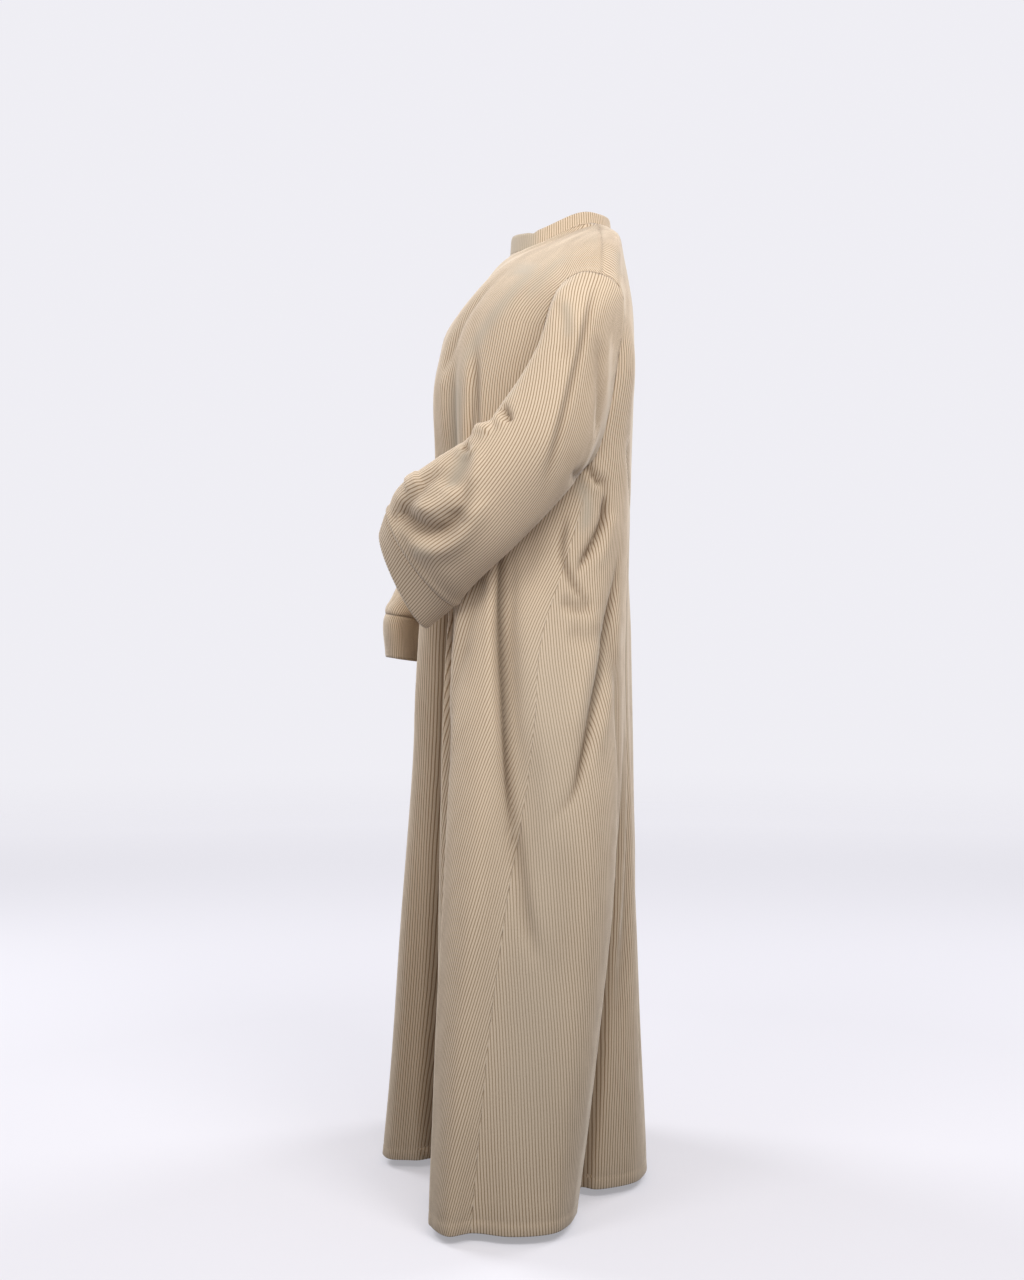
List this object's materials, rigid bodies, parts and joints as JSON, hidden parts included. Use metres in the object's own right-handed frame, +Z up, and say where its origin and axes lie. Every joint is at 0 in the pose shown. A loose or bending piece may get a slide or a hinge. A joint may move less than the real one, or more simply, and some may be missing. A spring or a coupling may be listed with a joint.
{
  "type": "abaya",
  "caption": "Long loose hollow abaya of beige cord cloth with a band collar, dropped shoulders and wide cuffed sleeves, in its worn pose.",
  "frame": {"origin": "midway between the two neck points of the shoulder seams, at the height of the base of the collar, where the garment hangs from its wearer", "axes": "+X is the wearer's left, +Y the back, -Y the front, +Z up"},
  "size_m": [0.6779, 0.404, 1.425],
  "materials": {
    "cord_cloth": "beige cord cloth with a soft nap, fine vertical cords about 4 mm apart, matt",
    "cord_band": "the same beige cord cloth, doubled and pressed flat, matt"
  },
  "bodies": {
    "root": {"front": "cord_cloth", "back": "cord_cloth", "sleeve_left": "cord_cloth", "sleeve_right": "cord_cloth", "collar": "cord_band", "cuff_left": "cord_band", "cuff_right": "cord_band"}
  },
  "joints": []
}
